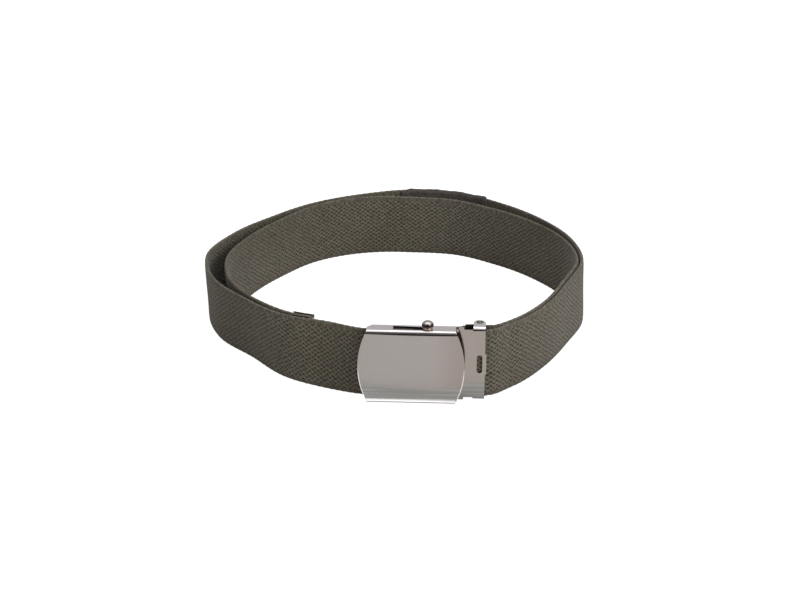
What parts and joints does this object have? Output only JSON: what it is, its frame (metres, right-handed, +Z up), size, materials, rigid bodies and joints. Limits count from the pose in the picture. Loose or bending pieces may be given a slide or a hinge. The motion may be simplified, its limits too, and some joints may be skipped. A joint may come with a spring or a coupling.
{
  "type": "canvas web belt with box-frame buckle",
  "caption": "Cotton web belt fastened in two turns, with a box-frame slide buckle, locking bar, clamp jaw and metal tip, standing on its lower edge.",
  "frame": {"origin": "centre of the belt's box at the floor that it stands on", "axes": "+Z up, along the web's width; the buckle's face looks along -Y and its bar slides along X"},
  "size_m": [0.1782, 0.1774, 0.039],
  "materials": {
    "canvas_web": "olive drab cotton webbing, coarse wavy ribs with a finer edge, matt",
    "satin_nickel": "satin nickel plate, slightly warm, with bright bends",
    "bright_nickel": "bright nickel plate",
    "label_cloth": "bare woven label cloth, smooth and dark"
  },
  "bodies": {
    "root": {"web_strap": "canvas_web", "buckle_case": "satin_nickel", "back_plate": "satin_nickel", "clamp_jaw": "bright_nickel", "jaw_pin": "bright_nickel", "locking_bar": "bright_nickel", "end_tip": "bright_nickel", "cloth_label": "label_cloth"}
  },
  "joints": []
}
